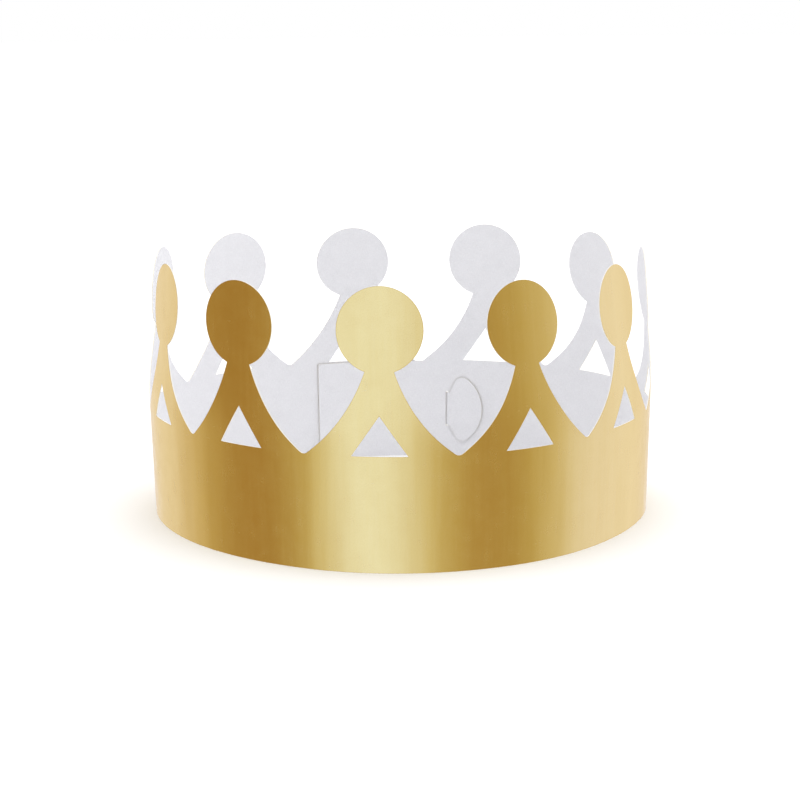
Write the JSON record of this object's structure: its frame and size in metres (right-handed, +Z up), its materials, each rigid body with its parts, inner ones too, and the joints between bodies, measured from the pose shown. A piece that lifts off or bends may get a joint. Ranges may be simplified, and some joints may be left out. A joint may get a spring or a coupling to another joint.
{
  "type": "paper crown",
  "caption": "Folded foil-card crown: one sheet bent into a ring, with ball-topped points, small triangular windows and a tongue-and-slit closure at the back.",
  "frame": {"origin": "middle of the footprint, on the surface that the crown stands on", "axes": "+Z up through the ring to the points, -Y towards the front point, +Y towards the closure"},
  "size_m": [0.1894, 0.1892, 0.0977],
  "materials": {
    "foil_card": "metallic foil, satin"
  },
  "bodies": {
    "root": {"crown_sheet": "foil_card"}
  },
  "joints": []
}
